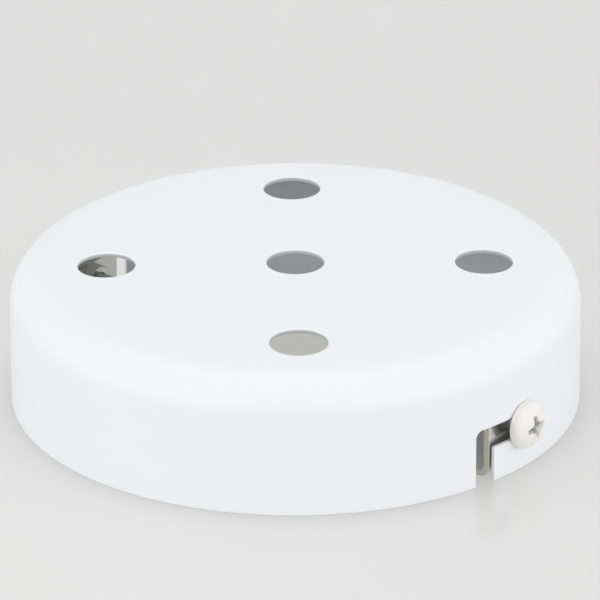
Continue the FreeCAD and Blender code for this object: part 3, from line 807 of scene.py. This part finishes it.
wave = add_node(tree, "ShaderNodeTexNoise", links={"Vector": place.outputs["Object"]},
                values={"Scale": 1 / (ENAMEL_WAVE * MM), "Detail": 1.0})
wave_bump = add_node(tree, "ShaderNodeBump", links={"Height": wave.outputs["Fac"]},
                     values={"Strength": 1.0, "Distance": ENAMEL_DEPTH * MM})
enamel = add_node(tree, "ShaderNodeBsdfPrincipled", links={"Normal": wave_bump.outputs["Normal"]},
                  values={"Base Color": srgb("EFECE8"), "Roughness": 0.30, "IOR": 1.5})
scuff = add_node(tree, "ShaderNodeTexNoise", links={"Vector": place.outputs["Object"]},
                 values={"Scale": 1 / (SCUFF_SIZE * MM), "Detail": 4.0})
scuff_tone = add_node(tree, "ShaderNodeMix", links={"Factor": scuff.outputs["Fac"]},
                      values={6: srgb("A9AEB1"), 7: srgb("F0F2F3")}, data_type="RGBA")
scuffed_zinc = add_node(tree, "ShaderNodeBsdfPrincipled", links={"Base Color": scuff_tone.outputs[2]},
                        values={"Metallic": 0.7, "Roughness": 0.48})
painted = add_node(tree, "ShaderNodeMixShader",
                   links={0: bare.outputs["Value"], 1: enamel.outputs[0], 2: scuffed_zinc.outputs[0]})
finish_material(tree, painted)
print("paint:", enamel_screw.name, f"with waves {ENAMEL_WAVE} mm across")

# %% [markdown]
# ## A screw with a real thread
#
# A machine screw is a turned blank with a rolled thread. A spiral sweep would need its
# two ends closed by hand. It is simpler to turn the whole screw as one grid of rings,
# and to make each point's distance from the axis depend on how far round and how far
# along it is: that alone draws the helix, and the mesh stays closed. The rings come
# first: a chamfered tip, the threaded shank, the head's flat seat, its edge and its dome.

# %% Rings of a screw
THREAD_RADIUS = 3.85 / 2
THREAD_PITCH = 0.7
THREAD_DEPTH = 0.36
CREST_SHARE = 0.14
FLANK_SHARE = 0.66
RINGS_PER_PITCH = 12
TIP_CHAMFER = 0.4
THREAD_RUNOUT = 0.5
BARE_NECK = 0.2
NECK_FLARE = 0.12
SEAT_INSET = 0.5
SEAT_EDGE = 0.06
HEAD_EDGE = 1.1
EDGE_STEPS = 8
DOME_STEPS = 14


def thread_cut(phase):
    """Depth of the groove, from 0 on the crest to 1 at the root, over one pitch."""
    return min(1.0, max(0.0, (abs(phase - 0.5) * 2 - CREST_SHARE) / FLANK_SHARE))


def screw_rings(head_radius, head_height, length):
    """Rings from the tip up over the head, as (height, radius, share of the thread)."""
    rings = [(-length, 0.0, 0.0), (-length, THREAD_RADIUS - TIP_CHAMFER - THREAD_DEPTH / 2, 0.0)]
    count = round((length - BARE_NECK) / THREAD_PITCH * RINGS_PER_PITCH)
    for n in range(count + 1):
        up = -length + (length - BARE_NECK) * n / count
        chamfer = max(0.0, TIP_CHAMFER - (up + length))
        share = min(1.0, (up + length) / THREAD_RUNOUT, -up / THREAD_RUNOUT)
        rings.append((up, THREAD_RADIUS - chamfer, share))
    rings.append((0.0, THREAD_RADIUS + NECK_FLARE, 0.0))
    rings += [(0.0, head_radius - SEAT_INSET, 0.0), (0.0, head_radius - SEAT_EDGE, 0.0),
              (SEAT_EDGE, head_radius, 0.0)]
    head_centre = head_height - HEAD_DOME
    round_across = head_radius - HEAD_EDGE
    round_up = head_centre + math.sqrt((HEAD_DOME - HEAD_EDGE) ** 2 - round_across ** 2)
    meeting = math.atan2(round_up - head_centre, round_across)
    for n in range(EDGE_STEPS + 1):
        turn = meeting * n / EDGE_STEPS
        rings.append((round_up + HEAD_EDGE * math.sin(turn),
                      round_across + HEAD_EDGE * math.cos(turn), 0.0))
    for n in range(1, DOME_STEPS + 1):
        turn = meeting + (math.pi / 2 - meeting) * n / DOME_STEPS
        rings.append((head_centre + HEAD_DOME * math.sin(turn), HEAD_DOME * math.cos(turn), 0.0))
    return rings


print(f"thread: {2 * THREAD_RADIUS} mm across, {THREAD_PITCH} mm pitch, {THREAD_DEPTH} mm deep")

# %% [markdown]
# Each ring becomes a row of points, and neighbouring rows are joined. A ring of no
# radius is a single point, and the faces that meet there have three corners.

# %% Turn the rings
SCREW_AROUND = 72


def turn_screw(rings):
    """Turn the rings into a closed mesh; the thread winds as a right-hand helix."""
    mesh = bmesh.new()
    rows = []
    for up, radius, share in rings:
        if radius < SAME_POINT:
            rows.append([mesh.verts.new((0, 0, up))])
            continue
        row = []
        for n in range(SCREW_AROUND):
            turn = 2 * math.pi * n / SCREW_AROUND
            phase = (up / THREAD_PITCH - n / SCREW_AROUND) % 1.0
            reach = radius - share * THREAD_DEPTH * thread_cut(phase)
            row.append(mesh.verts.new((reach * math.cos(turn), reach * math.sin(turn), up)))
        rows.append(row)
    for lower, upper in zip(rows, rows[1:]):
        for n in range(SCREW_AROUND):
            corners = [lower[(n - 1) % len(lower)], lower[n % len(lower)],
                       upper[n % len(upper)], upper[(n - 1) % len(upper)]]
            mesh.faces.new(list(dict.fromkeys(corners)))
    return mesh


print("points round a screw:", SCREW_AROUND)

# %% [markdown]
# ## The cross recess
#
# The recess is a cross that narrows as it goes in, with the corners between its wings
# cut back, so that a driver's tip can centre itself. It is cut with a boolean, because
# it meets the dome along a curve that would be hard to draw by hand.

# %% Recess cutter
RECESS_SPAN = 4.9
RECESS_DEPTH = 1.9
WING_WIDTH = 1.35
WING_TIP = 0.75
WING_CORNER = 0.4
NARROWING = 0.5
FLOOR_POINT = 0.35
CUTTER_OVER = 0.6


def cross_section(scale, up):
    """Corners of a cross with cut-back inner corners, at a height."""
    tip = RECESS_SPAN / 2 * scale
    wide = WING_WIDTH / 2 * scale
    corner = WING_CORNER * scale
    quarter = [(tip, -wide * WING_TIP), (tip, wide * WING_TIP),
               (wide + corner, wide), (wide, wide + corner)]
    points = []
    for step in range(4):
        turn = Matrix.Rotation(math.pi / 2 * step, 3, "Z")
        points += [turn @ Vector((x, y, up)) for x, y in quarter]
    return points


def recess_cutter(head_height):
    """Tapered cross with a pointed floor, reaching past the dome."""
    slope = (1 - NARROWING) / RECESS_DEPTH
    mesh = bmesh.new()
    sections = [cross_section(1 + slope * CUTTER_OVER, head_height + CUTTER_OVER),
                cross_section(NARROWING, head_height - RECESS_DEPTH)]
    rows = [[mesh.verts.new(corner) for corner in section] for section in sections]
    for n in range(len(rows[0])):
        mesh.faces.new((rows[0][n - 1], rows[0][n], rows[1][n], rows[1][n - 1]))
    mesh.faces.new(rows[0])
    point = mesh.verts.new((0, 0, head_height - RECESS_DEPTH - FLOOR_POINT))
    for n in range(len(rows[1])):
        mesh.faces.new((rows[1][n - 1], rows[1][n], point))
    return mesh


print(f"recess: {RECESS_SPAN} mm across, {RECESS_DEPTH} mm deep")

# %% [markdown]
# ## From rings to a screw in its place
#
# A screw is turned upright at the origin, its recess is cut, and it is then laid on the
# axis that its joint states. Its length and its head are read from the solid that it
# replaces. They could be written down again here, but then the two might disagree.

# %% Build one screw
CREASE_TURN = 32


def bake(piece):
    """Replace an object's mesh by the result of its modifiers."""
    graph = bpy.context.evaluated_depsgraph_get()
    data = bpy.data.meshes.new_from_object(piece.evaluated_get(graph))
    piece.modifiers.clear()
    piece.data = data


def make_screw(name, node, joint, roll, material):
    """Build a screw in place of a node, on the axis that its joint states."""
    low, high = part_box(node)
    seat = Vector(joint["pos_m"])
    axis = Vector(joint["axis"])
    ends = [(corner - seat).dot(axis) / MM for corner in (low, high)]
    length, head_height = -min(ends), max(ends)
    square_to_axis = Vector((0, 0, 1)) if abs(axis.z) < 0.5 else Vector((0, 1, 0))
    head_radius = (high - low).dot(square_to_axis) / 2 / MM
    rings = screw_rings(head_radius, head_height, length)
    piece = make_piece(name, turn_screw(rings), material)
    cutter = make_piece(name + "_cutter", recess_cutter(head_height), material)
    cut = piece.modifiers.new("recess", "BOOLEAN")
    cut.operation = "DIFFERENCE"
    cut.solver = "EXACT"
    cut.object = cutter
    bake(piece)
    bpy.data.objects.remove(cutter)
    piece.data.shade_smooth()
    piece.data.set_sharp_from_angle(angle=math.radians(CREASE_TURN))
    upright = axis.to_track_quat("Z", "Y").to_matrix().to_4x4()
    piece.matrix_world = Matrix.Translation(seat) @ upright @ Matrix.Rotation(roll, 4, "Z")
    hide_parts(node)
    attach(piece, joint["child"])
    print(f"{name}: head {2 * head_radius:.1f} x {head_height:.2f} mm, shank {length:.1f} mm,",
          len(piece.data.polygons), "faces")
    return piece


# %% [markdown]
# A screw stops where it is tight, so its recess hardly ever stands upright. The roll of
# the side screws is the one that the picture needs.

# %% Make the three screws
SIDE_ROLL = math.radians(8.7)

for number in (1, 2):
    side_screw = make_screw(f"side_screw_body_{number}", f"side_screw_{number}",
                            joints[f"side_screw_{number}_turn"], SIDE_ROLL, enamel_screw)
earth_screw = make_screw("earth_screw_body", "earth_screw", joints["earth_screw_turn"], 0.0,
                         zinc_plate)

# %% [markdown]
# ## Nickel-plated strap
#
# The strap is folded from cold-rolled strip with a bright nickel plate, so its faces
# mirror what is near them, slightly blurred, with faint lines along the rolling
# direction. The real lines are finer than a tenth of a millimetre. They are drawn just
# wide enough to show, as noise that is stretched fifty times along the strip.

# %% Rolled faces of the strap
ROLLING_LINE = 0.12
ROLLING_DEPTH = 0.0006
STRETCH = 0.02

nickel, tree = new_material("nickel_plated_cold_rolled_steel")
place = add_node(tree, "ShaderNodeTexCoord")
where = add_node(tree, "ShaderNodeSeparateXYZ", links={"Vector": place.outputs["Object"]})
stretch = add_node(tree, "ShaderNodeMapping", links={"Vector": place.outputs["Object"]},
                   values={"Scale": (STRETCH, 1.0, STRETCH)})
lines = add_node(tree, "ShaderNodeTexNoise", links={"Vector": stretch.outputs["Vector"]},
                 values={"Scale": 1 / (ROLLING_LINE * MM), "Detail": 3.0})
line_bump = add_node(tree, "ShaderNodeBump", links={"Height": lines.outputs["Fac"]},
                     values={"Strength": 1.0, "Distance": ROLLING_DEPTH * MM})
line_gloss = add_node(tree, "ShaderNodeMapRange", links={"Value": lines.outputs["Fac"]},
                      values={"From Min": NOISE_LOW, "From Max": NOISE_HIGH,
                              "To Min": 0.15, "To Max": 0.24})
rolled = add_node(tree, "ShaderNodeBsdfPrincipled",
                  links={"Roughness": line_gloss.outputs["Result"],
                         "Normal": line_bump.outputs["Normal"]},
                  values={"Base Color": srgb("E2E2DE"), "Metallic": 1.0})
print("rolled faces: lines", ROLLING_LINE, "mm wide")

# %% [markdown]
# The long sides are sheared from a wide sheet. Shearing tears the last of the steel, and
# plate takes badly there, so these sides are dull, a little warm, and lined through the
# thickness. One material can hold both finishes, because a point's distance from the
# strap's middle tells whether it lies on a side.

# %% Sheared sides of the strap
SHEAR_LINE = 0.25
SIDE_SKIN = 0.06

shear_map = add_node(tree, "ShaderNodeMapping", links={"Vector": place.outputs["Object"]},
                     values={"Scale": (1.0, STRETCH, 1.0)})
shear = add_node(tree, "ShaderNodeTexNoise", links={"Vector": shear_map.outputs["Vector"]},
                 values={"Scale": 1 / (SHEAR_LINE * MM), "Detail": 3.0})
shear_tone = add_node(tree, "ShaderNodeMix", links={"Factor": shear.outputs["Fac"]},
                      values={6: srgb("CDC9B6"), 7: srgb("E8E4D4")}, data_type="RGBA")
sheared = add_node(tree, "ShaderNodeBsdfPrincipled", links={"Base Color": shear_tone.outputs[2]},
                   values={"Metallic": 0.25, "Roughness": 0.5})
side_reach = add_node(tree, "ShaderNodeMath", links={0: where.outputs["Y"]}, operation="ABSOLUTE")
strap_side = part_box("mounting_strap")[1].y
on_side = add_node(tree, "ShaderNodeMath", links={0: side_reach.outputs["Value"]},
                   values={1: strap_side - SIDE_SKIN * MM}, operation="GREATER_THAN")
strap_surface = add_node(tree, "ShaderNodeMixShader",
                         links={0: on_side.outputs["Value"], 1: rolled.outputs[0],
                                2: sheared.outputs[0]})
finish_material(tree, strap_surface)
print(f"strap: {nickel.name}, sheared sides {2 * strap_side / MM:.1f} mm apart")

# %% [markdown]
# ## Dress the strap
#
# The strap's solid is right as it is, so its own mesh is kept and only its edges are
# eased. The mesh comes as long thin triangles, which shade in streaks beside a bevel, so
# those that lie in one plane are joined to whole faces before the bevel is laid.

# %% Ease a solid's edges
STRAP_EDGE = 0.16
SAME_PLANE = 0.5
FOLD_TURN = 35


def dress_node(name, material, width):
    """Keep a node's own mesh, ease its edges and give it its material."""
    node = frame["nodes"][name]
    node.data.materials.clear()
    node.data.materials.append(material)
    weld = node.modifiers.new("join_faces", "WELD")
    weld.merge_threshold = WELD_REACH * MM
    flatten = node.modifiers.new("whole_faces", "DECIMATE")
    flatten.decimate_type = "DISSOLVE"
    flatten.angle_limit = math.radians(SAME_PLANE)
    soften(node, width, FOLD_TURN)
    print(f"{name}: {material.name}, edges eased by {width} mm")


dress_node("mounting_strap", nickel, STRAP_EDGE)

# %% [markdown]
# ## Earth terminal
#
# A steel rose has to be earthed. Its terminal is a clamp stamped from brass, a toothed
# lock washer that bites into both neighbours, and a screw into the strap. Plain brass is
# a warm yellow that dulls in patches within weeks, so its tone and its gloss both vary.

# %% Finish the earth terminal
BRASS_PATCH = 1.5
CLAMP_EDGE = 0.1
WASHER_EDGE = 0.05

brass, tree = new_material("stamped_brass")
place = add_node(tree, "ShaderNodeTexCoord")
mottle = add_node(tree, "ShaderNodeTexNoise", links={"Vector": place.outputs["Object"]},
                  values={"Scale": 1 / (BRASS_PATCH * MM), "Detail": 4.0})
tone = add_node(tree, "ShaderNodeMix", links={"Factor": mottle.outputs["Fac"]},
                values={6: srgb("C9A257"), 7: srgb("E0BE78")}, data_type="RGBA")
gloss = add_node(tree, "ShaderNodeMapRange", links={"Value": mottle.outputs["Fac"]},
                 values={"From Min": NOISE_LOW, "From Max": NOISE_HIGH,
                         "To Min": 0.22, "To Max": 0.36})
brass_shader = add_node(tree, "ShaderNodeBsdfPrincipled",
                        links={"Base Color": tone.outputs[2], "Roughness": gloss.outputs["Result"]},
                        values={"Metallic": 1.0})
finish_material(tree, brass_shader)
dress_node("earth_clamp", brass, CLAMP_EDGE)
dress_node("earth_lock_washer", zinc_plate, WASHER_EDGE)
